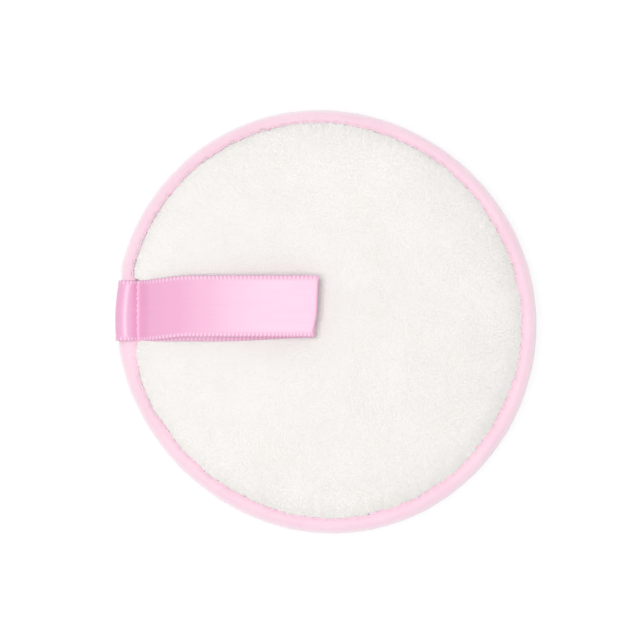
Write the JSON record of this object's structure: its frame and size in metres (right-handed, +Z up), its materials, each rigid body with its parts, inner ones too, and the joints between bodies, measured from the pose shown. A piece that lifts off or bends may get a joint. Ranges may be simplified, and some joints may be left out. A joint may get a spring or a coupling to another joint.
{
  "type": "makeup remover pad",
  "caption": "Round double-faced plush pad over a foam disc, bound at the edge, with a satin ribbon finger loop that turns on its tack seam.",
  "frame": {"origin": "middle of the flat rear face, on which the pad lies", "axes": "+Z up out of the front face, +X from the tack seam towards the fold of the ribbon loop, +Y across the ribbon"},
  "size_m": [0.1207, 0.12, 0.0221],
  "materials": {
    "plush_white": "short dense pile",
    "foam_cream": "open-cell foam",
    "tape_pink": "soft knitted tape",
    "satin_pink": "satin weave with a ridged selvedge",
    "thread_pink": "twisted sewing thread"
  },
  "bodies": {
    "pad": {"rear_plush": "plush_white", "foam_core": "foam_cream", "front_plush": "plush_white", "edge_binding": "tape_pink", "binding_needle_thread": "thread_pink", "binding_bobbin_thread": "thread_pink", "ribbon_tab": "satin_pink", "tack_needle_thread": "thread_pink", "tack_bobbin_thread": "thread_pink"},
    "loop": {"ribbon_loop": "satin_pink"}
  },
  "joints": [
    {"name": "loop_flip", "type": "hinge", "parent": "pad", "child": "loop", "pos_m": [-0.05285, 0.0034, 0.01205], "axis": [0, -1, 0], "range_deg": [0, 160]}
  ]
}
